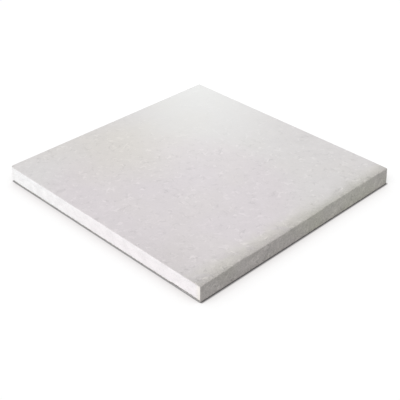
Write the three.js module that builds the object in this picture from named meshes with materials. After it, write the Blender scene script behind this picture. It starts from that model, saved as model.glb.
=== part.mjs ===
// A square offcut of gypsum wallboard, lying on its back with its face up. A gypsum core carries two
// papers. The face paper covers the top, wraps round the one bound edge and folds a little way onto
// the back. The back paper laps over that fold and stops short of the bound edge, so the fold stands
// clear of the floor by the thickness of the back paper. The other three edges are plain cuts, which
// show the core between the edges of the papers.
//
// Millimetres, +Z up. The origin is on the floor under the middle of the board, +X runs along the
// bound edge and +Y points away from it.

import * as THREE from 'three';

// The board
const BOARD_LENGTH = 190; // along the bound edge, from cut end to cut end
const BOARD_WIDTH = 190; // from the bound edge to the cut side opposite it
const BOARD_THICKNESS = 12.7;

// The papers
const FACE_PAPER = 0.35;
const BACK_PAPER = 0.35;
const FOLD_WIDTH = 25; // face paper on the back, measured from the bound edge
const BACK_PAPER_MARGIN = 9; // bare fold between the bound edge and the edge of the back paper

// The bound edge
const EASE_WIDTH = 18; // strip in which the face falls away towards the bound edge
const EASE_ANGLE = 1.2; // degrees of fall where that strip meets the rounded corner
const CORE_FACE_RADIUS = 0.3; // corner of the core under the paper, at the face
const CORE_BACK_RADIUS = 0.4; // corner of the core under the paper, at the back

// Fineness of the curves
const EASE_STEPS = 12;
const CORNER_STEPS = 8;

// Places that the pieces share
const BOUND_EDGE_Y = -BOARD_WIDTH / 2;
const CUT_SIDE_Y = BOARD_WIDTH / 2;
const FOLD_END_Y = BOUND_EDGE_Y + FOLD_WIDTH;
const BACK_PAPER_EDGE_Y = BOUND_EDGE_Y + BACK_PAPER_MARGIN;

/**
 * The strip where the face falls away: a parabola that leaves the flat face level and reaches
 * EASE_ANGLE where it runs into the rounded corner. Points lie at `depth` below the surface.
 */
function easePoints(depth) {
  const angle = THREE.MathUtils.degToRad(EASE_ANGLE);
  const cornerRadius = CORE_FACE_RADIUS + FACE_PAPER;
  const length = EASE_WIDTH - cornerRadius * (1 - Math.sin(angle));
  return Array.from({ length: EASE_STEPS + 1 }, (_, step) => {
    const run = (length * step) / EASE_STEPS;
    const slope = (Math.tan(angle) * run) / length;
    const tilt = Math.atan(slope);
    const y = BOUND_EDGE_Y + EASE_WIDTH - run + depth * Math.sin(tilt);
    const z = BOARD_THICKNESS - (slope * run) / 2 - depth * Math.cos(tilt);
    return new THREE.Vector2(y, z);
  });
}

/** Points of an arc about `centre`, without the first, which the line before it already has. */
function arcPoints(centre, radius, startAngle, endAngle) {
  return Array.from({ length: CORNER_STEPS }, (_, step) => {
    const angle = startAngle + ((endAngle - startAngle) * (step + 1)) / CORNER_STEPS;
    return new THREE.Vector2(
      centre.x + radius * Math.cos(angle),
      centre.y + radius * Math.sin(angle),
    );
  });
}

/**
 * The board's section in the YZ plane, from the cut side across the face, round the bound edge and
 * along the fold on the back, taken at `depth` below the surface of the face paper. Depth 0 is the
 * outside of the paper, and depth FACE_PAPER is where the paper is glued to the core.
 */
function wrapPoints(depth) {
  const faceRadius = CORE_FACE_RADIUS + FACE_PAPER;
  const backRadius = CORE_BACK_RADIUS + FACE_PAPER;
  const ease = easePoints(depth);
  const easeEnd = ease[ease.length - 1];
  const fallAngle = Math.PI / 2 + THREE.MathUtils.degToRad(EASE_ANGLE);
  const faceCentre = new THREE.Vector2(
    BOUND_EDGE_Y + faceRadius,
    easeEnd.y - (faceRadius - depth) * Math.sin(fallAngle),
  );
  const backCentre = new THREE.Vector2(BOUND_EDGE_Y + backRadius, BACK_PAPER + backRadius);
  return [
    new THREE.Vector2(CUT_SIDE_Y, BOARD_THICKNESS - depth),
    ...ease,
    ...arcPoints(faceCentre, faceRadius - depth, fallAngle, Math.PI),
    new THREE.Vector2(BOUND_EDGE_Y + depth, backCentre.y),
    ...arcPoints(backCentre, backRadius - depth, Math.PI, 1.5 * Math.PI),
    new THREE.Vector2(FOLD_END_Y, BACK_PAPER + depth),
  ];
}

/** Gypsum: the glued line of the face paper, closed along the back with a step where the fold ends. */
function coreSection() {
  return new THREE.Shape([
    ...wrapPoints(FACE_PAPER),
    new THREE.Vector2(FOLD_END_Y, BACK_PAPER),
    new THREE.Vector2(CUT_SIDE_Y, BACK_PAPER),
  ]);
}

/** Face paper: out along its outside and back along its glued side. */
function facePaperSection() {
  return new THREE.Shape([...wrapPoints(0), ...wrapPoints(FACE_PAPER).reverse()]);
}

/** Back paper: a flat sheet on the floor, from its edge over the fold to the cut side. */
function backPaperSection() {
  return new THREE.Shape([
    new THREE.Vector2(BACK_PAPER_EDGE_Y, 0),
    new THREE.Vector2(CUT_SIDE_Y, 0),
    new THREE.Vector2(CUT_SIDE_Y, BACK_PAPER),
    new THREE.Vector2(BACK_PAPER_EDGE_Y, BACK_PAPER),
  ]);
}

/** A piece of the board: its section, drawn in Y and Z, carried along X from cut end to cut end. */
function boardPiece(name, section, finish) {
  const geometry = new THREE.ExtrudeGeometry(section, {
    depth: BOARD_LENGTH,
    bevelEnabled: false,
  });
  const alongX = new THREE.Matrix4().makeBasis(
    new THREE.Vector3(0, 1, 0),
    new THREE.Vector3(0, 0, 1),
    new THREE.Vector3(1, 0, 0),
  );
  geometry.applyMatrix4(alongX);
  const piece = new THREE.Mesh(geometry, new THREE.MeshStandardMaterial(finish));
  piece.name = name;
  piece.position.x = -BOARD_LENGTH / 2;
  return piece;
}

const gypsum = { color: 0xf2f0ee, roughness: 0.95, metalness: 0 };
const ivoryGreyPaper = { color: 0xd9d5d4, roughness: 0.8, metalness: 0 };
const greyPaper = { color: 0x9a9691, roughness: 0.9, metalness: 0 };

const board = new THREE.Group();
board.add(
  boardPiece('gypsum_core', coreSection(), gypsum),
  boardPiece('face_paper', facePaperSection(), ivoryGreyPaper),
  boardPiece('back_paper', backPaperSection(), greyPaper),
);

export default board;
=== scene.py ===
"""Looks for a square piece of gypsum wallboard that lies on its back.

The board is a white gypsum core between two papers. The face paper covers the top, wraps round the
bound edge and folds onto the back, and the back paper laps over that fold. The other three edges
are sawn, so they show the core with the raw edges of the papers above and below it.

Metres, +Z up. The origin is on the floor under the middle of the board, +X runs along the bound
edge and +Y points away from it.
"""

import logging
import math
from abc import ABC, abstractmethod
from dataclasses import dataclass, field, replace
from enum import Enum, IntEnum
from functools import reduce
from typing import Sequence

import bmesh
import bpy
import numpy as np
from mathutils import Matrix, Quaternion, Vector


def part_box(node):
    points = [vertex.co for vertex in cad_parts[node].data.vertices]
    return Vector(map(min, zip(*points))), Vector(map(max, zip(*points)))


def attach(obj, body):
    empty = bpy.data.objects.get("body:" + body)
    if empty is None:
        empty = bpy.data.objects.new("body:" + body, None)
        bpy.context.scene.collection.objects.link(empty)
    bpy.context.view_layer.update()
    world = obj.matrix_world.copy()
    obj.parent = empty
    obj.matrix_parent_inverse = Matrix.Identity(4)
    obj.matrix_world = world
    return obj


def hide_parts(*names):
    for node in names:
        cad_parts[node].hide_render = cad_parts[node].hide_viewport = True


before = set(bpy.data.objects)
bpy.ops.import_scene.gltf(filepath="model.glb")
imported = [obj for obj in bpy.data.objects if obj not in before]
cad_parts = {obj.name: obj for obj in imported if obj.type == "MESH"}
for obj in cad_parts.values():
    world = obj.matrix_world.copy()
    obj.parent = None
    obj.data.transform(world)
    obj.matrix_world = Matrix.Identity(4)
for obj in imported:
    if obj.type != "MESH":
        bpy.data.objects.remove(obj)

Triple = tuple[float, float, float]
Array = np.ndarray

ORIGIN = (0.0, 0.0, 0.0)
ONES = (1.0, 1.0, 1.0)
WHITE = (1.0, 1.0, 1.0)

MM = 0.001
LOG = logging.getLogger("drywall_sheet")
ROOT_BODY = "root"
MERGE_DISTANCE = 1e-7
CRISP_ANGLE = math.radians(55.0)


class Slot(Enum):
    """The record's material slots."""

    GYPSUM = "gypsum"
    FACE_PAPER = "face_paper"
    BACK_PAPER = "back_paper"


class Layer(IntEnum):
    """The finishes of a sheet of paper, in the order of its mesh's material slots."""

    OUTSIDE = 0
    RAW_EDGE = 1
    GLUED_SIDE = 2


class CutEdge(IntEnum):
    """The three cut edges of a paper."""

    LOW_X = 0
    HIGH_X = 1
    HIGH_Y = 2


class RayKind(Enum):
    """Outputs of the Light Path node that see the plain white background."""

    CAMERA = "Is Camera Ray"
    GLOSSY = "Is Glossy Ray"
    TRANSMISSION = "Is Transmission Ray"


# ---- Random but repeatable unevenness ----


@dataclass(frozen=True)
class Ripple:
    """Smooth random unevenness of about one wavelength, between roughly -1 and 1."""

    wavelength: float
    seed: int
    waves: int = 28
    spread: float = 0.35

    def at(self, u: Array, v: Array) -> Array:
        """Sum of cosines whose directions, lengths and phases are drawn at random.

        Args:
            u: First coordinate of each point.
            v: Second coordinate of each point.

        Returns:
            The height at each point, scaled so that its standard deviation is about one half.
        """
        draw = np.random.default_rng(self.seed)
        heading = draw.uniform(0.0, 2.0 * np.pi, self.waves)
        length = self.wavelength * draw.uniform(1.0 - self.spread, 1.0 + self.spread, self.waves)
        phase = draw.uniform(0.0, 2.0 * np.pi, self.waves)
        u, v = np.broadcast_arrays(u, v)
        total = np.zeros(u.shape)
        for angle, size, start in zip(heading, length, phase):
            total += np.cos(2.0 * np.pi * (u * np.cos(angle) + v * np.sin(angle)) / size + start)
        return total * math.sqrt(0.5 / self.waves)

    def along(self, u: Array) -> Array:
        """The same height along a line."""
        return self.at(u, 0.0 * u)


@dataclass(frozen=True)
class Fray:
    """How far the cut edges of a paper are drawn in: a least amount and a random part."""

    wavelength: float
    seed: int
    least: float
    most: float

    def at(self, along: Array, edge: CutEdge) -> Array:
        """The amount along one edge, whose random part is a wave held within 0..1."""
        wave = Ripple(self.wavelength, self.seed + edge).along(along)
        return self.least + self.most * np.clip(0.5 + 0.5 * wave, 0.0, 1.0)

    def draw_in(self, x: Array, along: Array) -> None:
        """Draws in the two end columns of a grid of X, with `along` as the place of each row."""
        for column, edge in ((0, CutEdge.LOW_X), (-1, CutEdge.HIGH_X)):
            x[:, column] -= np.sign(x[:, column]) * self.at(along, edge)


@dataclass(frozen=True)
class Pits:
    """Air bubbles of the gypsum, cut open: at most one in each square cell of the surface."""

    cell: float
    smallest: float
    largest: float
    share: float
    seed: int
    table: int = 4096
    column_hash: int = 7919
    row_hash: int = 104729

    def depth(self, u: Array, v: Array) -> Array:
        """Depth of the pits under each point.

        A pit of radius r is part of a ball: at distance d from its middle it is
        sqrt(r * r - d * d) deep, and nothing outside r. Each point looks at the pits of its own
        cell and of the eight round it, and takes the deepest. Small pits are the commonest: the
        size grows as the cube of an even draw.

        Args:
            u: First coordinate of each point.
            v: Second coordinate of each point.

        Returns:
            Depth at each point.
        """
        jitter = np.random.default_rng(self.seed).uniform(0.0, 1.0, (self.table, 4))
        column = np.floor(u / self.cell).astype(np.int64)
        row = np.floor(v / self.cell).astype(np.int64)
        deepest = np.zeros(u.shape)
        for step_u in (-1, 0, 1):
            for step_v in (-1, 0, 1):
                here_u, here_v = column + step_u, row + step_v
                pick = jitter[(here_u * self.column_hash + here_v * self.row_hash) % self.table]
                middle_u = (here_u + pick[..., 0]) * self.cell
                middle_v = (here_v + pick[..., 1]) * self.cell
                radius = self.smallest + (self.largest - self.smallest) * pick[..., 2] ** 3
                radius = np.where(pick[..., 3] < self.share, radius, 0.0)
                inside = radius**2 - (u - middle_u) ** 2 - (v - middle_v) ** 2
                deepest = np.maximum(deepest, np.sqrt(np.maximum(inside, 0.0)))
        return deepest


@dataclass(frozen=True)
class Knock:
    """A place where the corner between the face and the bound edge has been knocked in."""

    x: float
    half_length: float
    depth: float

    def at(self, x: Array) -> Array:
        """Depth along the corner: a bell curve about the middle of the knock."""
        return self.depth * np.exp(-(((x - self.x) / self.half_length) ** 2))


@dataclass(frozen=True)
class Dent:
    """A shallow dent that presses the face down about one place."""

    x: float
    y: float
    reach_x: float
    reach_y: float
    depth: float

    def at(self, x: Array, y: Array) -> Array:
        """Depth of the dent: a bell curve of the distances from its middle along X and along Y."""
        away = ((x - self.x) / self.reach_x) ** 2 + ((y - self.y) / self.reach_y) ** 2
        return self.depth * np.exp(-away)


@dataclass(frozen=True)
class CrushedTip:
    """The top of an upright corner, pushed in towards the middle of the board."""

    x: float
    y: float
    reach: float
    depth: float

    def at(self, x: Array, y: Array, up: Array) -> tuple[Array, Array]:
        """How far points move along X and along Y.

        The push is a bell curve of the distance from the corner, times the fourth power of the
        share of the height, and it runs along the diagonal.

        Args:
            x: X of each point.
            y: Y of each point.
            up: Share of the height of each point, 0 at the floor and 1 at the face.

        Returns:
            The moves along X and along Y.
        """
        away = ((x - self.x) ** 2 + (y - self.y) ** 2) / self.reach**2
        push = self.depth * math.sqrt(0.5) * np.exp(-away) * up**4
        return -np.sign(self.x) * push, -np.sign(self.y) * push


@dataclass(frozen=True)
class Bruises:
    """What a board's handling did to its face: a knocked corner, a dent and a crushed tip."""

    y: float
    z: float
    knocks: tuple[Knock, ...]
    dent: Dent
    tip: CrushedTip
    nick: float = 0.12 * MM
    nick_level: float = 0.3
    nick_wave: Ripple = Ripple(6.0 * MM, seed=13)
    across: float = 5.0 * MM
    down: float = 7.0 * MM

    def press(self, points: Array) -> Array:
        """Moves points near the corner of the face away from the bound edge.

        The push is the sum of the knocks and a short random wave of nicks, and it fades as bell
        curves of the distance from the corner across the face and down the bound edge. The dent
        presses downwards, by an amount that falls to nothing at the floor as the height squared.
        The crushed tip adds its own push.

        Args:
            points: Points, with the three coordinates along the last axis.

        Returns:
            The moved points.
        """
        x, y, z = (points[..., axis] for axis in range(3))
        push = sum(knock.at(x) for knock in self.knocks)
        push = push + self.nick * (self.nick_level + self.nick_wave.along(x)).clip(0.0)
        near = np.exp(-(((y - self.y) / self.across) ** 2) - ((z - self.z) / self.down) ** 2)
        up = (z / self.z).clip(0.0, 1.0)
        sink = self.dent.at(x, y) * up**2
        crush_x, crush_y = self.tip.at(x, y, up)
        return np.stack([x + crush_x, y + push * near + crush_y, z - sink], axis=-1)


# ---- Meshes from grids of points ----


@dataclass
class Surface:
    """A mesh that is put together from grids and strips, each with its own corner points."""

    name: str
    bruises: Bruises | None = None
    points: list[Array] = field(default_factory=list)
    faces: list[tuple[Array, int]] = field(default_factory=list)
    count: int = 0

    def add_points(self, xyz: Array) -> Array:
        """Adds points, pressed in where the board is bruised.

        Args:
            xyz: Points, with the three coordinates along the last axis.

        Returns:
            The numbers of the points, in the shape of the rest of `xyz`.
        """
        if self.bruises is not None:
            xyz = self.bruises.press(xyz)
        numbers = self.count + np.arange(xyz[..., 0].size).reshape(xyz.shape[:-1])
        self.points.append(xyz.reshape(-1, 3))
        self.count += numbers.size
        return numbers

    def add_grid(self, xyz: Array, finish: int = 0, flip: bool = False) -> None:
        """Adds a grid of quads.

        Args:
            xyz: Points of the grid, rows by columns by three.
            finish: Number of the material slot.
            flip: Whether the quads are turned over.
        """
        numbers = self.add_points(xyz)
        corners = (numbers[:-1, :-1], numbers[1:, :-1], numbers[1:, 1:], numbers[:-1, 1:])
        quads = np.stack(corners, axis=-1).reshape(-1, 4)
        self.faces.append((quads[:, ::-1] if flip else quads, finish))

    def add_sheet(self, outside: Array, inside: Array) -> None:
        """Adds a closed sheet of paper: its two sides, and the raw edges that join them.

        Args:
            outside: Points of the outside, rows by columns by three.
            inside: Points of the glued side, in the same order.
        """
        self.add_grid(outside, Layer.OUTSIDE)
        self.add_grid(inside, Layer.GLUED_SIDE, flip=True)
        for end in (0, -1):
            self.add_grid(np.stack([outside[:, end], inside[:, end]]), Layer.RAW_EDGE)
        for end in (0, -1):
            self.add_grid(np.stack([outside[end], inside[end]]), Layer.RAW_EDGE)

    def add_zip(self, first: Array, second: Array, flip: bool = False) -> None:
        """Joins two rows of points that may differ in number by a strip of triangles.

        Both rows run the same way. The middles of all their segments are put in order by their
        share of the row's length, and each segment becomes a triangle whose tip is the point of
        the other row that this order has reached.

        Args:
            first: Points of one row, count by three.
            second: Points of the other row, count by three.
            flip: Whether the triangles are turned over.
        """
        low, high = self.add_points(first), self.add_points(second)
        low_middle, high_middle = (
            np.cumsum(gap) / gap.sum() - 0.5 * gap / gap.sum()
            for gap in (np.linalg.norm(np.diff(row, axis=0), axis=1) for row in (first, second))
        )
        low_tip = np.searchsorted(high_middle, low_middle, side="left")
        high_tip = np.searchsorted(low_middle, high_middle, side="right")
        low_side = np.stack([low[:-1], low[1:], high[low_tip]], axis=-1)
        high_side = np.stack([high[1:], high[:-1], low[high_tip]], axis=-1)
        triangles = np.concatenate([low_side, high_side])
        self.faces.append((triangles[:, ::-1] if flip else triangles, 0))

    def build(self, finishes: Sequence["Finish"]) -> bpy.types.Object:
        """Makes the mesh object, merges the points that its parts share and checks that it closes.

        The faces are shaded smooth, and edges that bend more than CRISP_ANGLE stay crisp.

        Args:
            finishes: The finishes, in the order of their material slots.

        Returns:
            The new object, at the origin.
        """
        mesh = bpy.data.meshes.new(self.name)
        corners = [row for faces, _ in self.faces for row in faces.tolist()]
        mesh.from_pydata(np.concatenate(self.points).tolist(), [], corners)
        slots = np.concatenate([np.full(len(faces), finish) for faces, finish in self.faces])
        mesh.polygons.foreach_set("material_index", slots.astype(np.int32))
        mesh.polygons.foreach_set("use_smooth", np.full(len(slots), True))
        cleaner = bmesh.new()
        cleaner.from_mesh(mesh)
        bmesh.ops.remove_doubles(cleaner, verts=cleaner.verts, dist=MERGE_DISTANCE)
        bmesh.ops.recalc_face_normals(cleaner, faces=cleaner.faces)
        open_edges = sum(1 for edge in cleaner.edges if len(edge.link_faces) != 2)
        cleaner.to_mesh(mesh)
        cleaner.free()
        mesh.set_sharp_from_angle(angle=CRISP_ANGLE)
        for finish in finishes:
            mesh.materials.append(finish.material())
        piece = bpy.data.objects.new(self.name, mesh)
        bpy.context.scene.collection.objects.link(piece)
        LOG.info("%s: %d faces, %d open edges", self.name, len(mesh.polygons), open_edges)
        return piece


def spaced(*spans: tuple[float, float, int]) -> Array:
    """Places along a line, each once, in spans of a start, an end and a number of even steps."""
    parts = [np.linspace(start, end, steps + 1) for start, end, steps in spans]
    return np.concatenate([parts[0], *[part[1:] for part in parts[1:]]])


# ---- The board's section ----


@dataclass(frozen=True)
class WrapPath:
    """Stations along the outside of the face paper, from the cut side to the end of the fold."""

    y: Array
    z: Array
    out_y: Array
    out_z: Array
    least_slope: float = 1e-6

    def at_depth(self, depth: float | Array) -> tuple[Array, Array]:
        """Y and Z of the stations moved in by a depth, or by one for each station and column."""
        turned = np.transpose(depth)
        return (self.y - turned * self.out_y).T, (self.z - turned * self.out_z).T

    def run(self) -> Array:
        """Length of the path up to each station."""
        return np.concatenate([[0.0], np.cumsum(np.hypot(np.diff(self.y), np.diff(self.z)))])

    def height_at(self, y: Array, depth: float, facing: int) -> Array:
        """Z of the stretch of the path that faces up or down, at each Y.

        Args:
            y: Where it is read.
            depth: How far in from the surface.
            facing: 1 for the stretch that faces up, and -1 for the one that faces down.

        Returns:
            Its Z.
        """
        path_y, path_z = self.at_depth(depth)
        part = facing * self.out_z > self.least_slope
        order = np.argsort(path_y[part])
        return np.interp(y, path_y[part][order], path_z[part][order])


@dataclass(frozen=True)
class Board:
    """The sizes that the pieces share, most of them read from the frame."""

    end_x: float
    bound_y: float
    cut_y: float
    top_z: float
    face_paper: float
    back_paper: float
    back_paper_edge_y: float
    fold_end_y: float
    ease_width: float = 18.0 * MM
    ease_angle: float = math.radians(1.2)
    core_face_radius: float = 0.3 * MM
    core_back_radius: float = 0.2 * MM
    droop: float = 0.32 * MM
    droop_width: float = 5.0 * MM

    @classmethod
    def from_frame(cls, fold_width: float = 25.0 * MM) -> "Board":
        """Reads the board's sizes from the boxes of its three pieces.

        Args:
            fold_width: Width of the face paper's fold on the back.

        Returns:
            The board.
        """
        core_low, core_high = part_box("gypsum_core")
        face_low, face_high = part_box("face_paper")
        back_low, back_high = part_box("back_paper")
        return cls(
            end_x=face_high.x,
            bound_y=face_low.y,
            cut_y=face_high.y,
            top_z=face_high.z,
            face_paper=face_high.z - core_high.z,
            back_paper=back_high.z - back_low.z,
            back_paper_edge_y=back_low.y,
            fold_end_y=face_low.y + fold_width,
        )

    def columns(self, steps: int) -> Array:
        """Places along X from cut end to cut end."""
        return np.linspace(-self.end_x, self.end_x, steps + 1)

    def bruises(self) -> Bruises:
        """The bruises that the core and the face paper share.

        Returns:
            The bruises.
        """
        knocks = (
            Knock(x=-59.0 * MM, half_length=8.0 * MM, depth=0.65 * MM),
            Knock(x=30.0 * MM, half_length=6.0 * MM, depth=0.45 * MM),
            Knock(x=62.0 * MM, half_length=48.0 * MM, depth=1.0 * MM),
        )
        dent = Dent(
            -self.end_x, self.bound_y, reach_x=18.0 * MM, reach_y=62.0 * MM, depth=0.5 * MM
        )
        tip = CrushedTip(-self.end_x, self.cut_y, reach=1.8 * MM, depth=0.6 * MM)
        return Bruises(self.bound_y, self.top_z, knocks, dent, tip)

    def path(self, flat: int, ease: int, corner: int, edge: int, fold: int) -> WrapPath:
        """The section that the face paper follows.

        The face is flat up to the ease, a parabola that ends at the ease angle. Two round corners
        with the flat bound edge between them follow, and then the fold on the back, whose lip
        droops towards the floor by half a cosine wave of the distance from the bound edge.

        Args:
            flat: Steps across the flat face.
            ease: Steps down the ease.
            corner: Steps round each corner.
            edge: Steps down the bound edge.
            fold: Steps along each half of the fold.

        Returns:
            The path.
        """
        face_radius = self.core_face_radius + self.face_paper
        back_radius = self.core_back_radius + self.face_paper
        fall = math.tan(self.ease_angle)
        length = self.ease_width - face_radius * (1.0 - math.sin(self.ease_angle))
        flat_y = np.linspace(self.cut_y, self.bound_y + self.ease_width, flat + 1)
        run = np.linspace(0.0, length, ease + 1)[1:]
        tilt = np.arctan(fall * run / length)
        drop = fall * run**2 / (2.0 * length)
        face_turn = np.linspace(0.5 * np.pi + self.ease_angle, np.pi, corner + 1)[1:]
        back_turn = np.linspace(np.pi, 1.5 * np.pi, corner + 1)
        face_y = self.bound_y + face_radius
        face_z = self.top_z - drop[-1] - face_radius * math.cos(self.ease_angle)
        back_y = self.bound_y + back_radius
        back_z = self.back_paper - self.droop + back_radius
        edge_z = np.linspace(face_z, back_z, edge + 1)[1:-1]
        lip_y = back_y + self.droop_width
        fold_y = spaced((back_y, lip_y, fold), (lip_y, self.fold_end_y, fold))[1:]
        phase = np.pi * np.clip((fold_y - back_y) / self.droop_width, 0.0, 1.0)
        fold_z = self.back_paper - 0.5 * self.droop * (1.0 + np.cos(phase))
        rise = np.arctan(0.5 * np.pi * self.droop / self.droop_width * np.sin(phase))
        parts = (
            (flat_y, self.top_z, 0.0, 1.0),
            (flat_y[-1] - run, self.top_z - drop, -np.sin(tilt), np.cos(tilt)),
            arc(face_y, face_z, face_radius, face_turn),
            (self.bound_y, edge_z, -1.0, 0.0),
            arc(back_y, back_z, back_radius, back_turn),
            (fold_y, fold_z, np.sin(rise), -np.cos(rise)),
        )
        rows = zip(*(np.broadcast_arrays(*part) for part in parts))
        return WrapPath(*(np.concatenate(row) for row in rows))


def arc(y: float, z: float, radius: float, turn: Array) -> tuple[Array, ...]:
    """Y, Z and the outward direction's Y and Z at the angles `turn` of a round corner."""
    out_y, out_z = np.cos(turn), np.sin(turn)
    return y + radius * out_y, z + radius * out_z, out_y, out_z


# ---- Node graphs ----


@dataclass(frozen=True)
class Value:
    """A number, vector, colour or shader that a graph works out, with the usual arithmetic."""

    graph: "Graph"
    socket: bpy.types.NodeSocket

    def __add__(self, other: object) -> "Value":
        """The sum."""
        return self.graph.arithmetic("ADD", self, other)

    def __sub__(self, other: object) -> "Value":
        """The difference."""
        return self.graph.arithmetic("SUBTRACT", self, other)

    def __rsub__(self, other: object) -> "Value":
        """The difference from a plain number."""
        return self.graph.arithmetic("SUBTRACT", other, self)

    def __mul__(self, other: object) -> "Value":
        """The product, where a number may scale a vector or a colour."""
        return self.graph.arithmetic("MULTIPLY", self, other)

    def __truediv__(self, other: object) -> "Value":
        """The quotient."""
        return self.graph.arithmetic("DIVIDE", self, other)

    def __pow__(self, other: object) -> "Value":
        """The power."""
        return self.graph.arithmetic("POWER", self, other)

    def exponential(self) -> "Value":
        """The exponential."""
        return self.graph.arithmetic("EXPONENT", self)

    def at_least(self, other: object) -> "Value":
        """The larger of this number and another."""
        return self.graph.arithmetic("MAXIMUM", self, other)

    def length(self) -> "Value":
        """The length of this vector."""
        settings = {"operation": "LENGTH"}
        return self.graph.value("ShaderNodeVectorMath", settings, (self,), output="Value")

    def axis(self, name: str) -> "Value":
        """One coordinate of this point."""
        return self.graph.value("ShaderNodeSeparateXYZ", output=name, Vector=self)

    def moved(self, stretch: Triple = ONES, turn: float = 0.0, shift: Triple = ORIGIN) -> "Value":
        """This point, stretched along each axis, turned about Z and then shifted."""
        moves = {"Scale": stretch, "Rotation": (0.0, 0.0, turn), "Location": shift}
        return self.graph.value("ShaderNodeMapping", Vector=self, **moves)

    def ramp(self, start: float, end: float, low: float, high: float) -> "Value":
        """This number, mapped smoothly from start..end onto low..high and held outside."""
        settings = {"interpolation_type": "SMOOTHSTEP"}
        return self.graph.value("ShaderNodeMapRange", settings, (self, start, end, low, high))

    def blend(self, first: object, second: object) -> "Value":
        """Mixes two colours by this share.

        Args:
            first: The colour at share 0.
            second: The colour at share 1.

        Returns:
            The mixed colour.
        """
        made = self.graph.node("ShaderNodeMix", {"data_type": "RGBA"}, (self,))
        sockets = {socket.identifier: socket for socket in (*made.inputs, *made.outputs)}
        self.graph.feed(sockets["A_Color"], first)
        self.graph.feed(sockets["B_Color"], second)
        return Value(self.graph, sockets["Result_Color"])


def is_vector(term: object) -> bool:
    """Whether a term of arithmetic is a vector or a colour, and not a number."""
    kind = term.socket.type if isinstance(term, Value) else None
    return isinstance(term, tuple) or kind in ("VECTOR", "RGBA")


@dataclass(frozen=True)
class Coat:
    """How rough, glossy and bumpy a surface is."""

    roughness: float
    relief: float
    gloss: float = 0.2
    strength: float = 0.5


@dataclass(frozen=True)
class Graph:
    """Nodes and links of one material or world."""

    tree: bpy.types.NodeTree

    @classmethod
    def emptied(cls, owner: bpy.types.Material | bpy.types.World) -> "Graph":
        """The graph of a material or a world, with nothing in it yet.

        Args:
            owner: The material or the world.

        Returns:
            The graph.
        """
        owner.use_nodes = True
        owner.node_tree.nodes.clear()
        return cls(owner.node_tree)

    def node(
        self, kind: str, settings: dict | None = None, terms: Sequence = (), **inputs: object
    ) -> bpy.types.Node:
        """Adds a node.

        Args:
            kind: Blender's name of the node's type.
            settings: Properties of the node.
            terms: What its first inputs take, in order.
            inputs: What other inputs take, by name with `_` for a space.

        Returns:
            The node.
        """
        made = self.tree.nodes.new(kind)
        for key, value in (settings or {}).items():
            setattr(made, key, value)
        for socket, value in zip(made.inputs, terms):
            self.feed(socket, value)
        for key, value in inputs.items():
            self.feed(made.inputs[key.replace("_", " ")], value)
        return made

    def value(self, *about: object, output: int | str = 0, **inputs: object) -> Value:
        """Adds a node as `node` does, and gives one of its outputs."""
        return Value(self, self.node(*about, **inputs).outputs[output])

    def feed(self, socket: bpy.types.NodeSocket, value: object) -> None:
        """Links a value to an input socket, or sets the socket to a number or triple.

        Args:
            socket: The input socket.
            value: What it takes. A colour gets an alpha of 1.
        """
        if isinstance(value, Value):
            self.tree.links.new(value.socket, socket)
        elif socket.type == "RGBA":
            socket.default_value = (*value, 1.0)
        else:
            socket.default_value = value

    def arithmetic(self, operation: str, *terms: object) -> Value:
        """Arithmetic on numbers, on vectors, or on a vector that a number scales.

        Args:
            operation: Blender's name of the operation.
            terms: Values, numbers and triples.

        Returns:
            The result.
        """
        vectors = [term for term in terms if is_vector(term)]
        numbers = [term for term in terms if not is_vector(term)]
        if not vectors:
            return self.value("ShaderNodeMath", {"operation": operation}, numbers)
        if not numbers:
            return self.value("ShaderNodeVectorMath", {"operation": operation}, vectors)
        return self.value("ShaderNodeVectorMath", {"operation": "SCALE"}, vectors, Scale=numbers[0])

    def point(self) -> Value:
        """The point on the piece, in metres."""
        return self.value("ShaderNodeTexCoord", output="Object")

    def seen_directly(self) -> Value:
        """1 for the rays that see a surface or the sky, and 0 for the rays that light others."""
        rays = self.node("ShaderNodeLightPath").outputs
        return reduce(Value.at_least, (Value(self, rays[kind.value]) for kind in RayKind))

    def surface(self, coat: Coat, colour: Value, height: Value, clearness: object = 1.0) -> None:
        """Ends the graph with a surface.

        Args:
            coat: How rough, glossy and bumpy it is.
            colour: Its colour.
            height: Height of its bumps.
            clearness: Factor on the strength of its bumps.
        """
        bump = self.value(
            "ShaderNodeBump",
            Strength=clearness * coat.strength,
            Distance=coat.relief,
            Height=height,
        )
        shader = self.value(
            "ShaderNodeBsdfPrincipled",
            Base_Color=colour,
            Roughness=coat.roughness,
            Specular_IOR_Level=coat.gloss,
            Normal=bump,
        )
        self.node("ShaderNodeOutputMaterial", Surface=shader)


@dataclass(frozen=True)
class Clouds:
    """Cloudy noise of one size, mapped smoothly from `start`..`end` onto `low`..`high`."""

    size: float
    low: float = -1.0
    high: float = 1.0
    detail: float = 1.0
    roughness: float = 0.5
    start: float = 0.3
    end: float = 0.7
    bend: float = 0.0

    def both(self, point: Value) -> tuple[Value, Value]:
        """The noise, plain and mapped.

        Args:
            point: Where it is read.

        Returns:
            The plain noise, between 0 and 1, and the mapped noise.
        """
        noise = point.graph.value(
            "ShaderNodeTexNoise",
            Vector=point,
            Scale=1.0 / self.size,
            Detail=self.detail,
            Roughness=self.roughness,
            Distortion=self.bend,
        )
        return noise, noise.ramp(self.start, self.end, self.low, self.high)

    def at(self, point: Value) -> Value:
        """The mapped noise alone."""
        return self.both(point)[1]


@dataclass(frozen=True)
class Spread:
    """A value that changes smoothly with the distance from one place on the board.

    It is `near` up to the distance `start` from the place, and `far` beyond `end`. The distance
    counts each axis as many times as `stretch` says.
    """

    middle: Triple
    end: float
    near: float
    far: float = 0.0
    start: float = 0.0
    stretch: Triple = ONES

    def at(self, point: Value) -> Value:
        """The value at a point."""
        away = ((point - self.middle) * self.stretch).length()
        return away.ramp(self.start, self.end, self.near, self.far)


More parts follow.
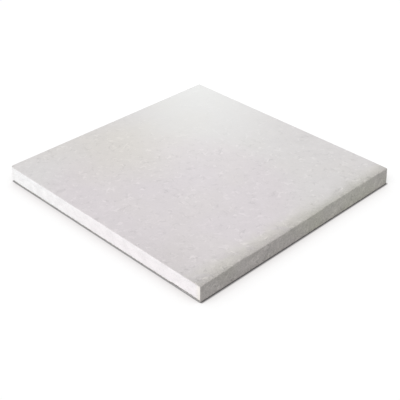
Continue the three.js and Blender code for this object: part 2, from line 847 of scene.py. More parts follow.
# ---- Finishes ----


class Finish(ABC):
    """A finish that is made into a material, with a `name` of its own."""

    name: str

    @abstractmethod
    def draw(self, graph: Graph) -> None:
        """Draws the finish as nodes."""

    def material(self) -> bpy.types.Material:
        """Builds the material.

        Returns:
            The material.
        """
        material = bpy.data.materials.new(self.name)
        self.draw(Graph.emptied(material))
        return material


@dataclass(frozen=True)
class Fibres:
    """Short curly fibres in paper, drawn by the borders of bent cells."""

    cell: float
    width: float
    share: float
    bend: float = 0.9
    patch: float = 0.8
    softness: float = 0.06

    def at(self, point: Value) -> Value:
        """Where the fibres lie.

        The borders of cells are kept where a cloudy noise is high, which leaves short curved
        pieces of them.

        Args:
            point: Where they are read.

        Returns:
            1 on a fibre and 0 elsewhere.
        """
        graph = point.graph
        cells = {"Scale": 1.0 / self.cell}
        wander = graph.value("ShaderNodeTexNoise", output="Color", Vector=point, Detail=1.0, **cells)
        bent = point + wander * (self.bend * self.cell)
        edges = ("ShaderNodeTexVoronoi", {"feature": "DISTANCE_TO_EDGE"})
        border = graph.value(*edges, output="Distance", Vector=bent, **cells)
        least = 1.0 - self.share
        patches = Clouds(
            self.patch * self.cell, 0.0, 1.0, detail=0.0, start=least, end=least + self.softness
        )
        return border.ramp(0.0, self.width / self.cell, 1.0, 0.0) * patches.at(point)


@dataclass(frozen=True)
class HandledAndShadedEdge:
    """The darker paper on and along the bound edge, which fades out across the face.
    Its darkness is partly handling and partly painted shade: the bound edge faces away from the
    key lamp, and the band beside it turns from the light.
    """

    line: float
    height: float
    colour: Triple
    other_colour: Triple
    change: Spread
    spots: tuple[Spread, ...]
    painted_light_at_face: float = 0.985
    painted_light_at_foot: float = 1.06
    reach: float = 7.6 * MM
    fade: float = 1.9
    corner_dark_share: float = 0.27
    corner_dark_reach: float = 0.8 * MM
    contrast: float = 1.3
    stain_start: float = 4.0 * MM
    stain_end: float = 18.0 * MM
    front: Clouds = Clouds(7.0 * MM, 0.75, 1.25, detail=2.0, start=0.2, end=0.8)
    drift: Clouds = Clouds(26.0 * MM, -0.35, 0.35, start=0.35, end=0.65)
    fine_grain: Clouds = Clouds(0.8 * MM, -0.045, 0.045)
    stains: Clouds = Clouds(9.0 * MM, 0.0, 1.0, start=0.34, end=0.5)

    def share(self, point: Value) -> Value:
        """How much of the darker colour shows.

        Most of it falls off as the exponential of minus the distance over `reach`, raised to the
        power `fade`, with a cloudy front. The rest, darkest right at the corner, falls off as the
        exponential of minus the distance over a shorter reach. Each spot then covers its share of
        what is still clean. The darker colour is partly painted shade of the bound edge and of the
        band and corner beside it.

        Args:
            point: The point on the piece.

        Returns:
            The share, from 0 to 1.
        """
        distance = self.distance(point)
        inward = distance * self.front.at(point) / self.reach
        wide = (inward**self.fade * -1.0).exponential()
        narrow = (distance / -self.corner_dark_reach).exponential()
        # Painted shade: the darker colour, darkest right at the bound corner.
        share = wide * (1.0 - self.corner_dark_share) + narrow * self.corner_dark_share
        for spot in self.spots:
            share = share + spot.at(point) * (1.0 - share)
        return share

    def tone(self, point: Value) -> Value:
        """The darker colour, which drifts slowly along the edge and is painted lighter towards the
        back, as painted light near the floor.

        Args:
            point: The point on the piece.

        Returns:
            The colour.
        """
        drift = self.change.at(point) + self.drift.at(point)
        # Painted light: lighter towards the floor and a little darker at the face.
        painted_light = point.axis("Z").ramp(0.0, self.height, self.painted_light_at_foot, self.painted_light_at_face)
        return drift.blend(self.colour, self.other_colour) * painted_light

    def grain(self, point: Value) -> Value:
        """Fine light and dark grain, which shows on the darker paper alone."""
        return self.fine_grain.at(point) * self.share(point)

    def stain(self, point: Value) -> Value:
        """Share of warm stains just inside the band, away from where its colour changes."""
        near = self.distance(point).ramp(self.stain_start, self.stain_end, 1.0, 0.0)
        return self.stains.at(point) * (1.0 - self.change.at(point)) * near

    def distance(self, point: Value) -> Value:
        """Distance inward from the bound edge."""
        return (point.axis("Y") - self.line).at_least(0.0)


@dataclass(frozen=True)
class PaperFinish(Finish):
    """Board paper: a cloudy sheet of mixed fibres, with curly fibres and specks in it."""

    name: str
    colour: Triple
    warm_colour: Triple
    cloud: float
    fibre: float
    speck: float
    coat: Coat
    patch_shift: Triple = ORIGIN
    aside: Triple = (31.0 * MM, 17.0 * MM, 5.0 * MM)
    fibre_turn: float = math.radians(45.0)
    clouds: Clouds = Clouds(9.0 * MM, detail=3.0, roughness=0.6, start=0.25, end=0.75)
    mottle: Clouds = Clouds(
        1.6 * MM, -0.7, 0.7, detail=2.0, roughness=0.6, start=0.25, end=0.75, bend=0.3
    )
    specks: Clouds = Clouds(0.9 * MM, 0.0, 1.0, detail=0.0, start=0.76, end=0.82)
    pulp: Clouds = Clouds(0.24 * MM, -0.022, 0.022, detail=2.0, roughness=0.6)
    busyness: Clouds = Clouds(7.0 * MM, 0.48, 1.58, start=0.35, end=0.65)
    patches: Clouds = Clouds(38.0 * MM, -0.08, 0.22, start=0.38, end=0.72)
    dark_fibres: Fibres = Fibres(5.4 * MM, width=0.8 * MM, share=0.42)
    light_fibres: Fibres = Fibres(4.8 * MM, width=0.8 * MM, share=0.41)
    fine_fibres: Fibres = Fibres(1.7 * MM, width=0.12 * MM, share=0.5)
    dark_share: float = 0.9
    fine_share: float = 0.3
    mottle_height: float = 1.5
    pulp_height: float = 0.8

    def draw(self, graph: Graph) -> None:
        """Draws the finish as nodes.

        Args:
            graph: The graph of its material.
        """
        point = graph.point()
        marks, height = self.marks(point)
        clearness = self.clearness(point)
        colour = self.tone(point) * (marks * clearness + 1.0)
        graph.surface(self.coat, colour, height, clearness)

    def marks(self, point: Value) -> tuple[Value, Value]:
        """The clouds, fibres and specks in the paper.

        Args:
            point: The point on the piece.

        Returns:
            How much lighter or darker the paper is, and how far its surface is raised.
        """
        across = point.moved(turn=self.fibre_turn)
        aside = point.moved(turn=self.fibre_turn, shift=self.aside)
        mottle, mottled = self.mottle.both(point)
        pulp, pulped = self.pulp.both(point)
        light, fine = self.light_fibres.at(aside), self.fine_fibres.at(aside)
        shade = (self.clouds.at(point) + mottled) * self.cloud
        shade = shade - self.dark_fibres.at(across) * (self.dark_share * self.fibre)
        shade = shade + light * self.fibre - fine * (self.fine_share * self.fibre)
        shade = shade - self.specks.at(point) * self.speck + pulped
        height = light + fine + mottle * self.mottle_height + pulp * self.pulp_height
        return shade * self.busyness.at(aside), height

    def tone(self, point: Value) -> Value:
        """The paper's own colour, warm in patches."""
        return self.warmth(point).blend(self.colour, self.warm_colour)

    def warmth(self, point: Value) -> Value:
        """How much of the warm colour shows."""
        return self.patches.at(point.moved(shift=self.patch_shift))

    def clearness(self, point: Value) -> object:
        """How clearly the fibres show, 1 for plain paper."""
        return 1.0


@dataclass(frozen=True, kw_only=True)
class FacePaperFinish(PaperFinish):
    """The outside of the face paper: aged round its middle, stained, with fibres faded where the
    glow lamp's sheen falls, and darker on and along the bound edge by handling and painted shade.
    """

    aged_colour: Triple
    ageing: Spread
    stain: Spread
    sheen_fade: Spread
    edge: HandledAndShadedEdge

    def marks(self, point: Value) -> tuple[Value, Value]:
        """The marks of plain paper, and the grain of the handled edge."""
        shade, height = super().marks(point)
        return shade + self.edge.grain(point), height

    def tone(self, point: Value) -> Value:
        """The paper's colour: aged far from the middle, warm in patches, darker at the edge, partly
        by painted shade.

        Args:
            point: The point on the piece.

        Returns:
            The colour.
        """
        colour = self.ageing.at(point).blend(self.colour, self.aged_colour)
        for warmth in (self.warmth(point), self.edge.stain(point)):
            colour = warmth.blend(colour, self.warm_colour)
        # The bound edge and the band along it take the darker colour: partly painted shade.
        return self.edge.share(point).blend(colour, self.edge.tone(point))

    def warmth(self, point: Value) -> Value:
        """How much of the warm colour shows: in patches, and most on the stain."""
        return super().warmth(point) + self.stain.at(point)

    def clearness(self, point: Value) -> Value:
        """How clearly the fibres show: less about the far corner, painted as if the glow lamp's
        sheen washed them out, and more on the handled edge.
        """
        return self.sheen_fade.at(point) * (self.edge.share(point) * self.edge.contrast + 1.0)


@dataclass(frozen=True)
class RawPaperEdge(Finish):
    """The cut edge of a board paper, where its plies show as thin streaks. Its lowest strip may be
    painted darker, as painted shade next to the floor.
    """

    name: str
    colour: Triple
    foot_colour: Triple | None = None
    foot_height: float = 0.8 * MM
    foot_softness: float = 1.2
    plies: Clouds = Clouds(0.09 * MM, 0.93, 1.03, detail=2.0, roughness=0.7)
    ply_stretch: Triple = (0.12, 0.12, 1.0)
    fuzz: Clouds = Clouds(0.35 * MM, -0.03, 0.03, detail=3.0, roughness=0.7)
    coat: Coat = Coat(roughness=0.9, relief=0.05 * MM, strength=0.7)

    def draw(self, graph: Graph) -> None:
        """Draws the finish as nodes.

        Args:
            graph: The graph of its material.
        """
        point = graph.point()
        colour = self.colour
        # Painted shade: the raw edge darkens below the foot height, next to the floor.
        if self.foot_colour is not None:
            foot_top = self.foot_softness * self.foot_height
            foot = point.axis("Z").ramp(self.foot_height, foot_top, 1.0, 0.0)
            colour = foot.blend(colour, self.foot_colour)
        fuzz, fuzzed = self.fuzz.both(point)
        shade = self.plies.at(point.moved(self.ply_stretch)) + fuzzed
        graph.surface(self.coat, shade * colour, fuzz)


@dataclass(frozen=True)
class Pores:
    """Fine open pores: a share of the cells of a surface has one round pore each."""

    cell: float = 1.1 * MM
    inner: float = 0.1
    outer: float = 0.3
    closed: float = 0.55
    opened: float = 0.6

    def at(self, point: Value) -> Value:
        """Where the pores lie.

        Args:
            point: The point on the piece.

        Returns:
            1 in the middle of a pore and 0 outside.
        """
        graph = point.graph
        cells = graph.node("ShaderNodeTexVoronoi", Vector=point, Scale=1.0 / self.cell)
        distance, colour = (Value(graph, cells.outputs[name]) for name in ("Distance", "Color"))
        draw = graph.value("ShaderNodeSeparateColor", Color=colour)
        chosen = draw.ramp(self.closed, self.opened, 0.0, 1.0)
        return distance.ramp(self.inner, self.outer, 1.0, 0.0) * chosen


@dataclass(frozen=True)
class GypsumFinish(Finish):
    """Sawn gypsum: chalky white, painted darker towards the foot as painted shade, with fine open
    pores.

    It is plainer at one corner, and stained by the glue of the bound edge.
    """

    name: str
    height: float
    colour: Triple
    plain_colour: Triple
    plain: Spread
    glue_colour: Triple
    glue_line: float
    glue_reach: float = 5.0 * MM
    foot_shade_level: float = 0.972
    clouds: Clouds = Clouds(5.0 * MM, 0.945, 1.03, detail=3.0, roughness=0.6)
    cloud_stretch: Triple = (1.0, 0.6, 1.0)
    grain: Clouds = Clouds(0.5 * MM, -0.075, 0.075, detail=3.0, roughness=0.7)
    grain_height: float = 0.6
    pores: Pores = Pores()
    pore_shade: float = 0.13
    coat: Coat = Coat(roughness=0.95, relief=0.06 * MM)

    def draw(self, graph: Graph) -> None:
        """Draws the finish as nodes.

        Args:
            graph: The graph of its material.
        """
        point = graph.point()
        grain, grained = self.grain.both(point)
        pores = self.pores.at(point)
        shade = self.clouds.at(point.moved(self.cloud_stretch)) + grained - pores * self.pore_shade
        # Painted shade: the gypsum darkens towards the foot.
        level = point.axis("Z").ramp(0.0, self.height, self.foot_shade_level, 1.0)
        glued = point.axis("Y").ramp(self.glue_line, self.glue_line + self.glue_reach, 1.0, 0.0)
        colour = self.plain.at(point).blend(self.colour, self.plain_colour)
        colour = glued.blend(colour, self.glue_colour) * (shade * level)
        graph.surface(self.coat, colour, grain * self.grain_height - pores)


# ---- The pieces ----


@dataclass(frozen=True)
class FacePaper:
    """The face paper: one sheet over the face, round the bound edge and onto the back."""

    board: Board
    finishes: Sequence[Finish]
    wave: float = 0.02 * MM
    level: float = 1.6
    slow: Ripple = Ripple(34.0 * MM, seed=11)
    slow_share: float = 0.6
    short: Ripple = Ripple(7.0 * MM, seed=12)
    short_share: float = 0.35
    fold_facing: float = -0.5
    fray: Fray = Fray(2.6 * MM, seed=21, least=0.0, most=0.09 * MM)
    steps: int = 190

    def relief(self, x: Array, path: WrapPath) -> Array:
        """How far each point of the outside lies in from the true section.

        It is a slow wave and a faint short one everywhere but on the fold.

        Args:
            x: X of each column of points.
            path: The stations of the section.

        Returns:
            The depth of each point, stations by columns.
        """
        run = path.run()[:, None]
        slow = self.slow_share * self.slow.at(x, run)
        short = self.short_share * self.short.at(x, run)
        even = self.wave * (self.level + slow + short)
        fold = path.out_z[:, None] < self.fold_facing
        return np.where(fold, 0.0, np.clip(even, 0.0, None))

    def build(self) -> bpy.types.Object:
        """Makes the sheet.

        Returns:
            The piece.
        """
        path = self.board.path(flat=110, ease=16, corner=10, edge=14, fold=10)
        x = self.board.columns(self.steps)
        depth = self.relief(x, path)
        outside = self.side(x, path, depth)
        inside = self.side(x, path, np.full_like(depth, self.board.face_paper))
        surface = Surface("face_paper_sheet", self.board.bruises())
        surface.add_sheet(outside, inside)
        return surface.build(self.finishes)

    def side(self, x: Array, path: WrapPath, depth: Array) -> Array:
        """Points of one side of the sheet: the section carried along X, with frayed ends.

        Args:
            x: X of each column.
            path: The stations of the section.
            depth: Depth of each point below the true section, stations by columns.

        Returns:
            The points, stations by columns by three.
        """
        y, z = path.at_depth(depth)
        x = np.broadcast_to(x, y.shape).copy()
        self.fray.draw_in(x, path.run())
        return np.stack([x, y, z], axis=-1)


@dataclass(frozen=True)
class SawnRelief:
    """The relief of the sawn faces of the core."""

    height: float
    foot: float
    wave: Ripple = Ripple(16.0 * MM, seed=1)
    wave_depth: float = 0.03 * MM
    wave_share: float = 0.5
    saw_lines: Ripple = Ripple(1.1 * MM, seed=0, spread=0.25)
    saw_depth: float = 0.008 * MM
    saw_slant: float = 0.35
    bubbles: Pits = Pits(1.7 * MM, smallest=0.12 * MM, largest=0.42 * MM, share=0.8, seed=2)
    bubble_share: float = 0.45
    large_bubbles: Pits = Pits(7.5 * MM, smallest=0.3 * MM, largest=0.8 * MM, share=0.45, seed=3)
    large_share: float = 0.4
    crumble: Ripple = Ripple(2.4 * MM, seed=4)
    crumble_least: float = 0.1
    chip_depth: float = 0.3 * MM
    chip_reach: float = 0.35 * MM
    undercut: float = 0.95 * MM
    undercut_wave: Ripple = Ripple(3.0 * MM, seed=5)
    undercut_share: float = 0.12

    def depth(self, along: Array, up: Array, seed: int) -> Array:
        """Depth of the relief at each point.

        It is the sum of slanted saw lines, a slow wave, cut-open bubbles of two sizes, chips that
        eat into the two long borders next to the papers, and an undercut at the foot: a quarter
        of a circle, as high as it is deep.

        Args:
            along: Distance of each point along the face.
            up: Share of the height, 0 at the back and 1 at the face.
            seed: Sets the random draws of this face.

        Returns:
            The depth of each point.
        """
        height = up * self.height
        lines = self.seeded(self.saw_lines, seed).along(along + self.saw_slant * height)
        slow = self.seeded(self.wave, seed).at(along, height)
        even = self.wave_depth * (1.0 + self.wave_share * slow) + self.saw_depth * (1.0 + lines)
        bubbles = self.bubble_share * self.seeded(self.bubbles, seed).depth(along, height)
        large = self.large_share * self.seeded(self.large_bubbles, seed).depth(along, height)
        crumble = self.seeded(self.crumble, seed).at(along, height) - self.crumble_least
        border = np.minimum(up, 1.0 - up) * self.height
        chips = self.chip_depth * np.clip(crumble, 0.0, None) * np.exp(-border / self.chip_reach)
        change = self.undercut_share * self.seeded(self.undercut_wave, seed).along(along)
        reach = self.undercut * (1.0 + change)
        broken = reach * np.clip(1.0 - ((height - self.foot) / reach) ** 2, 0.0, None) ** 0.5
        return np.clip(even, 0.0, None) + bubbles + large + chips + broken

    @staticmethod
    def seeded(drawn: Ripple | Pits, seed: int) -> Ripple | Pits:
        """A ripple or pits with `seed` added to their own."""
        return replace(drawn, seed=drawn.seed + seed)


@dataclass(frozen=True)
class GypsumCore:
    """The gypsum core, with relief on the three sawn faces and plain glued faces."""

    board: Board
    finish: GypsumFinish
    glue_gap: float = 0.01 * MM
    near_seed: int = 31
    far_seed: int = 41
    side_seed: int = 51
    corner_blend: float = 4.0 * MM
    inset: float = 2.5 * MM
    step_half: float = 1.5 * MM
    columns: int = 520
    rows: int = 36
    corner_steps: int = 12
    bound_columns: int = 120
    middle_columns: int = 12
    fold_rows: int = 14
    step_rows: int = 4
    back_rows: int = 12

    def outline(self, y: Array) -> tuple[Array, Array]:
        """Lowest and highest Z of the core at each Y.

        Both are read off the section at the depth of the paper. Past the end of the fold the core
        reaches down to the back paper.

        Args:
            y: Where it is read.

        Returns:
            The lowest and the highest Z.
        """
        board = self.board
        path = board.path(flat=2, ease=40, corner=40, edge=2, fold=2)
        depth = board.face_paper + self.glue_gap
        low, high = (path.height_at(y, depth, facing) for facing in (-1, 1))
        past_fold = y > board.fold_end_y + self.glue_gap
        return np.where(past_fold, board.back_paper + self.glue_gap, low), high

    def build(self) -> bpy.types.Object:
        """Makes the closed core.

        The two cut ends and the cut side are dense grids. The bound edge is a plain grid, and the
        two glued faces are plain grids joined to the dense borders by zipped strips.

        Returns:
            The piece.
        """
        board = self.board
        low_y = board.bound_y + board.face_paper + self.glue_gap
        corner_y = low_y + board.core_back_radius
        turn = np.linspace(0.0, 0.5 * np.pi, self.corner_steps + 1)
        round_y = low_y + board.core_back_radius * (1.0 - np.cos(turn))
        y = np.concatenate([round_y, np.linspace(corner_y, board.cut_y, self.columns)[1:]])
        up = np.linspace(0.0, 1.0, self.rows + 1)[:, None]
        low, high = self.outline(y)
        end_y, end_up = np.broadcast_arrays(y, up)
        end_z = low + (high - low) * up
        side_x, side_up = np.broadcast_arrays(board.columns(self.columns), up)
        side_z = low[-1] + (high[-1] - low[-1]) * side_up
        relief = SawnRelief(board.top_z, board.back_paper)
        near_depth = relief.depth(end_y, end_up, self.near_seed)
        far_depth = relief.depth(end_y, end_up, self.far_seed)
        side_depth = relief.depth(side_x, side_up, self.side_seed)
        near = np.stack([-board.end_x + near_depth, end_y, end_z], axis=-1)
        far = np.stack([board.end_x - far_depth, end_y, end_z], axis=-1)
        side = np.stack([side_x, board.cut_y - side_depth, side_z], axis=-1)
        near[..., 1] -= side_depth[:, :1] * self.nearness(board.cut_y - y)
        far[..., 1] -= side_depth[:, -1:] * self.nearness(board.cut_y - y)
        side[..., 0] += near_depth[:, -1:] * self.nearness(board.end_x + side_x)
        side[..., 0] -= far_depth[:, -1:] * self.nearness(board.end_x - side_x)
        surface = Surface("gypsum_core_sawn", board.bruises())
        surface.add_grid(near, flip=True)
        surface.add_grid(far)
        surface.add_grid(side, flip=True)
        surface.add_grid(self.between(near[:, :1], far[:, :1]))
        for row in (0, -1):
            self.add_glued_face(surface, near[row], far[row], side[row], under=row == 0)
        return surface.build([self.finish])

    def nearness(self, away: Array) -> Array:
        """How much of the other face's depth a sawn face takes over, `away` from their corner."""
        return np.clip(1.0 - away / self.corner_blend, 0.0, 1.0)

    def between(self, near: Array, far: Array) -> Array:
        """Points in even steps along the bound edge, from `near` to `far`."""
        share = np.linspace(0.0, 1.0, self.bound_columns + 1)[:, None]
        return near * (1.0 - share) + far * share

    def add_glued_face(
        self, surface: Surface, near: Array, far: Array, side: Array, under: bool
    ) -> None:
        """Adds one of the two hidden faces under the papers.

        A coarse grid covers the middle. Its four sides are zipped to the dense borders of the
        sawn faces and to the plain border of the bound edge.

        Args:
            surface: The mesh that is built.
            near: Border at the cut end on the low X side, from the bound edge to the cut side.
            far: Border at the other cut end.
            side: Border at the cut side, from low X to high X.
            under: Whether it is the face on the back.
        """
        board, inset = self.board, self.inset
        step_low, step_high = board.fold_end_y - self.step_half, board.fold_end_y + self.step_half
        y = spaced(
            (near[0, 1] + inset, step_low, self.fold_rows),
            (step_low, step_high, self.step_rows),
            (step_high, board.cut_y - inset, self.back_rows),
        )
        x = np.linspace(-board.end_x + inset, board.end_x - inset, self.middle_columns + 1)
        low, high = self.outline(y)
        level = low if under else high
        middle = np.stack(np.broadcast_arrays(x, y[:, None], level[:, None]), axis=-1)
        surface.add_grid(middle, flip=under)
        for border, inner in (
            (self.between(near[0], far[0]), middle[0]),
            (far, middle[:, -1]),
            (side[::-1], middle[-1, ::-1]),
            (near[::-1], middle[::-1, 0]),
        ):
            surface.add_zip(border, inner, flip=under)


@dataclass(frozen=True)
class BackPaper:
    """The back paper: a flat grey sheet whose one factory edge lies over the fold."""

    board: Board
    finishes: Sequence[Finish]
    crease_depth: float = 0.06 * MM
    crease_reach: float = 1.2 * MM
    wave: Ripple = Ripple(23.0 * MM, seed=71)
    wave_depth: float = 0.012 * MM
    fray: Fray = Fray(2.9 * MM, seed=61, least=0.02 * MM, most=0.12 * MM)
    steps_x: int = 190
    steps_y: int = 120

    def build(self) -> bpy.types.Object:
        """Makes the sheet.

        Its underside is flat but for a slow wave and a shallow crease over the end of the fold, a
        bell curve of the distance from it. Its three cut edges are drawn in a little.

        Returns:
            The piece.
        """
        board = self.board
        rows = np.linspace(board.back_paper_edge_y, board.cut_y, self.steps_y + 1)
        x, y = np.meshgrid(board.columns(self.steps_x), rows)
        crease = self.crease_depth * np.exp(-(((y - board.fold_end_y) / self.crease_reach) ** 2))
        wave = self.wave_depth * (1.0 + self.wave.at(x, y))
        under_z = crease + np.clip(wave, 0.0, None)
        over_z = np.full_like(under_z, board.back_paper)
        self.fray.draw_in(x, y[:, 0])
        y[-1] -= self.fray.at(x[-1], CutEdge.HIGH_Y)
        surface = Surface("back_paper_sheet")
        surface.add_sheet(*(np.stack([x, y, z], axis=-1) for z in (under_z, over_z)))
        return surface.build(self.finishes)


@dataclass(frozen=True)
class Finishes:
    """The finishes of one board, with the marks that lie at places on it."""

    board: Board

    def spread(self, x: float, y: float, **values: float | Triple) -> Spread:
        """A spread about a place on the face."""
        return Spread((x, y, self.board.top_z), **values)

    def handled_and_shaded_edge(self) -> HandledAndShadedEdge:
        """The handled and shaded paper along the bound edge, with a long stain, a small one, and
        painted shade on the crushed tip.

        Returns:
            The edge.
        """
        board = self.board
        return HandledAndShadedEdge(
            line=board.bound_y,
            height=board.top_z,
            # Darker than the face paper: partly handling, partly painted shade of the bound edge.
            colour=(0.432, 0.408, 0.392),
            other_colour=(0.436, 0.428, 0.376),
            change=self.spread(48.0 * MM, board.bound_y, start=15.0 * MM, end=65.0 * MM, near=1.0),
            spots=(
                self.spread(
                    -board.end_x, board.bound_y, end=110.0 * MM, near=0.24, stretch=(3.0, 1.0, 1.0)
                ),
                self.spread(66.0 * MM, board.bound_y + 8.0 * MM, end=26.0 * MM, near=0.11),
                # Painted shade on the crushed tip, where the low-X cut end meets the cut side.
                self.spread(-board.end_x, board.cut_y, start=0.5 * MM, end=3.0 * MM, near=0.45),
            ),
        )

    def face_paper(self) -> FacePaperFinish:
        """The outside of the face paper.

        Returns:
            The finish.
        """
        board = self.board
        return FacePaperFinish(
            "face_paper",
            colour=(0.662, 0.623, 0.641),
            warm_colour=(0.66, 0.634, 0.605),
            cloud=0.02,
            fibre=0.062,
            speck=0.065,
            coat=Coat(roughness=0.6, relief=0.03 * MM, gloss=0.35),
            patch_shift=(76.0 * MM, -66.0 * MM, 0.0),
            aged_colour=(0.662, 0.643, 0.642),
            ageing=self.spread(
                -42.0 * MM, -14.0 * MM, start=68.0 * MM, end=98.0 * MM, near=0.0, far=1.0
            ),
            stain=self.spread(-22.0 * MM, 66.0 * MM, start=12.0 * MM, end=66.0 * MM, near=0.7),
            # Fibres painted faint about the far corner, standing in for the glow lamp's sheen
            # washing them out.
            sheen_fade=self.spread(
                board.end_x, board.cut_y, start=60.0 * MM, end=130.0 * MM, near=0.3, far=1.08
            ),
            edge=self.handled_and_shaded_edge(),
        )

    def back_paper(self) -> PaperFinish:
        """The outside of the back paper.

        Returns:
            The finish.
        """
        return PaperFinish(
            "back_paper",
            colour=(0.34, 0.325, 0.3),
            warm_colour=(0.33, 0.31, 0.28),
            cloud=0.05,
            fibre=0.12,
            speck=0.12,
            coat=Coat(roughness=0.85, relief=0.05 * MM, gloss=0.35),
        )

    def layers(self, outside: PaperFinish, **raw_edge: Triple) -> tuple[Finish, ...]:
        """The finishes of one paper, in the order of `Layer`.

        Its glued side looks much like the outside of the back paper.

        Args:
            outside: The finish of its outside.
            raw_edge: The colours of its raw edge, with the painted shade at its foot where given.

        Returns:
            The three finishes.
        """
        glued = replace(
            self.back_paper(), name=f"{outside.name}_glued_side", colour=(0.33, 0.326, 0.318)
        )
        return outside, RawPaperEdge(f"{outside.name}_raw_edge", **raw_edge), glued

    def gypsum(self) -> GypsumFinish:
        """The sawn gypsum.

        Returns:
            The finish.
        """
        board = self.board
        return GypsumFinish(
            "gypsum",
            height=board.top_z,
            colour=(0.845, 0.811, 0.823),
            plain_colour=(0.845, 0.84, 0.842),
            plain=Spread(
                (-board.end_x, board.cut_y, 0.0), start=5.0 * MM, end=120.0 * MM, near=1.0
            ),
            glue_colour=(0.86, 0.82, 0.77),
            glue_line=board.bound_y,
        )


# ---- The studio ----


@dataclass(frozen=True)
class Stand:
    """A place round the board and above it, from which a camera or a lamp looks at its aim.

    The angles are in degrees. Azimuth 0 is on the side of the bound edge.
    """

    azimuth: float
    elevation: float
    distance: float = 0.0
    aim: Triple = ORIGIN
    roll: float = 0.0

    def back(self) -> Vector:
        """Direction from the aim to the place.

        Returns:
            The direction, of length one.
        """
        turn, rise = math.radians(self.azimuth), math.radians(self.elevation)
        level = math.cos(rise)
        return Vector((math.sin(turn) * level, -math.cos(turn) * level, math.sin(rise)))

    def put(self, data: bpy.types.Camera | bpy.types.Light) -> bpy.types.Object:
        """Stands a camera or a lamp at the place.

        Args:
            data: The camera or the lamp.

        Returns:
            Its object.
        """
        stood = bpy.data.objects.new(data.name, data)
        back = self.back()
        roll = Quaternion((0.0, 0.0, 1.0), math.radians(self.roll))
        stood.location = Vector(self.aim) + back * self.distance
        stood.rotation_mode = "QUATERNION"
        stood.rotation_quaternion = (-back).to_track_quat("-Z", "Y") @ roll
        bpy.context.scene.collection.objects.link(stood)
        return stood


@dataclass(frozen=True)
class Viewpoint:
    """The camera and where it stands."""

    stand: Stand = Stand(
        azimuth=-45.501,
        elevation=33.315,
        distance=0.63869,
        aim=(-0.00694, -0.00739, -0.00844),
        roll=0.644,
    )
    lens: float = 80.35
    sensor: float = 36.0
    clip_start: float = 0.01
    clip_end: float = 50.0

    def build(self) -> bpy.types.Object:
        """Makes the camera and hands it to the scene.

        Returns:
            The camera.
        """
        data = bpy.data.cameras.new("camera")
        data.lens, data.sensor_width, data.sensor_fit = self.lens, self.sensor, "HORIZONTAL"
        data.clip_start, data.clip_end = self.clip_start, self.clip_end
        bpy.context.scene.camera = self.stand.put(data)
        return bpy.context.scene.camera


@dataclass(frozen=True)
class Lamp:
    """A lamp: its type, its settings by Blender's names, and where it stands."""

    name: str
    kind: str
    stand: Stand
    settings: dict[str, object]

    def build(self) -> bpy.types.Object:
        """Makes the lamp.

        Returns:
            The lamp.
        """
        lamp = bpy.data.lights.new(self.name, self.kind)
        for key, value in self.settings.items():
            setattr(lamp, key, value)
        return self.stand.put(lamp)


@dataclass(frozen=True)
class FloorFinish(Finish):
    """White to the eye, with the board's shadow painted into its glow, and a little greyer for the
    light that it throws back.
    """

    name: str = "floor_white"
    seen_colour: float = 0.2
    seen_glow: float = 0.81
    shade_colour: Triple = (1.0, 0.974, 0.971)
    shade_gain: float = 6.0
    bounce_colour: Triple = (0.8, 0.8, 0.8)
    contact_reach: float = 20.0 * MM
    line_reach: float = 1.8 * MM
    line_power: float = 5.0
    line_light: float = 0.06
    lit_side: Stand = Stand(azimuth=-93.0, elevation=45.0)
    sky_samples: int = 16

    def draw(self, graph: Graph) -> None:
        """Draws the finish as nodes.

        Args:
            graph: The graph of its material.
        """
        light = self.light(graph)
        tone = (light * self.shade_gain + (1.0 - self.shade_gain)).blend(self.shade_colour, WHITE)
        bounce = graph.value("ShaderNodeBsdfDiffuse", Color=self.bounce_colour)
        seen = graph.value("ShaderNodeBsdfDiffuse", Color=tone * (light * self.seen_colour))
        # Painted shadow: the glow is dimmed where the board closes off the sky.
        glow = graph.value("ShaderNodeEmission", Color=tone, Strength=light * self.seen_glow)
        both = graph.value("ShaderNodeAddShader", terms=(seen, glow))
        mix = graph.value("ShaderNodeMixShader", terms=(graph.seen_directly(), bounce, both))
        graph.node("ShaderNodeOutputMaterial", Surface=mix)

    def light(self, graph: Graph) -> Value:
        """How much light the floor shows, painted as the board's shadow.

        Where the board closes off the sky close by, the floor is shaded by the square of the
        closed share, which draws the soft shadow round the board's foot. The thin dark line right
        at the foot is a high power of the open share of the sky on the light's side.

        Args:
            graph: The graph of its material.

        Returns:
            The share of the light, 1 in the open.
        """
        lit_side = graph.value("ShaderNodeCombineXYZ", terms=self.lit_side.back())
        closed = 1.0 - self.open_sky(graph, Distance=self.contact_reach)
        line = self.open_sky(graph, Distance=self.line_reach, Normal=lit_side) ** self.line_power
        return (1.0 - closed * closed) * (line * (1.0 - self.line_light) + self.line_light)

    def open_sky(self, graph: Graph, **inputs: object) -> Value:
        """The open share of the sky, within the distance and about the direction in `inputs`."""
        settings = {"samples": self.sky_samples}
        return graph.value("ShaderNodeAmbientOcclusion", settings, output="AO", **inputs)


@dataclass(frozen=True)
class Floor:
    """A level white floor with the board's shadow, mostly painted into its glow."""

    finish: Finish = FloorFinish()
    reach: float = 6.0

    def build(self) -> bpy.types.Object:
        """Makes the floor.

        Returns:
            The floor.
        """
        turns = ((-1, -1), (1, -1), (1, 1), (-1, 1))
        corners = [(self.reach * x, self.reach * y, 0.0) for x, y in turns]
        mesh = bpy.data.meshes.new("floor")
        mesh.from_pydata(corners, [], [range(len(corners))])
        mesh.materials.append(self.finish.material())
        floor = bpy.data.objects.new("floor", mesh)
        bpy.context.scene.collection.objects.link(floor)
        return floor


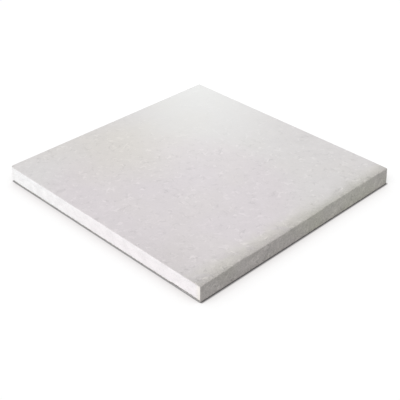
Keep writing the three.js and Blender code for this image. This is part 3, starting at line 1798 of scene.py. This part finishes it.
@dataclass(frozen=True)
class Studio:
    """A white room in soft light."""

    sky: float = 0.42
    lamps: tuple[Lamp, ...] = (
        Lamp(
            "key",
            "SUN",
            Stand(azimuth=-93.0, elevation=53.0),
            {"energy": 2.4, "angle": math.radians(40.0)},
        ),
        Lamp(
            "glow",
            "SPOT",
            Stand(azimuth=135.0, elevation=25.0, distance=0.6, aim=(0.12, 0.116, 0.0127)),
            {
                "energy": 4.5,
                "color": (0.86, 1.0, 0.95),
                "shadow_soft_size": 20.0 * MM,
                "spot_size": math.radians(15.4),
                "spot_blend": 1.0,
            },
        ),
    )
    floor: Floor = Floor()

    def world(self) -> bpy.types.World:
        """An even sky that lights at `sky` and looks white.

        Returns:
            The world.
        """
        world = bpy.data.worlds.new("studio")
        graph = Graph.emptied(world)
        strength = graph.seen_directly() * (1.0 - self.sky) + self.sky
        background = graph.value("ShaderNodeBackground", Color=WHITE, Strength=strength)
        graph.node("ShaderNodeOutputWorld", Surface=background)
        return world

    def build(self) -> None:
        """Sets the view, the sky, the lamps and the floor."""
        scene = bpy.context.scene
        scene.view_settings.view_transform = "Standard"
        scene.world = self.world()
        for part in (*self.lamps, self.floor):
            part.build()


# ---- The whole board ----


def main() -> None:
    """Builds the studio and the three pieces."""
    logging.basicConfig(level=logging.INFO, format="%(name)s: %(message)s")
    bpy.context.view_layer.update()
    Viewpoint().build()
    Studio().build()
    board = Board.from_frame()
    finishes = Finishes(board)
    # The face paper's raw edge is painted darker at its foot: painted shade.
    face_layers = finishes.layers(
        finishes.face_paper(), colour=(0.66, 0.635, 0.62), foot_colour=(0.36, 0.35, 0.35)
    )
    back_layers = finishes.layers(finishes.back_paper(), colour=(0.2, 0.196, 0.214))
    sheets = [
        (GypsumCore(board, finishes.gypsum()).build(), Slot.GYPSUM, "gypsum_core"),
        (FacePaper(board, face_layers).build(), Slot.FACE_PAPER, "face_paper"),
        (BackPaper(board, back_layers).build(), Slot.BACK_PAPER, "back_paper"),
    ]
    for piece, slot, node in sheets:
        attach(piece, ROOT_BODY)
        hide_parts(node)
        LOG.info("%s stands for %s", piece.name, node)


if __name__ == "__main__":
    main()
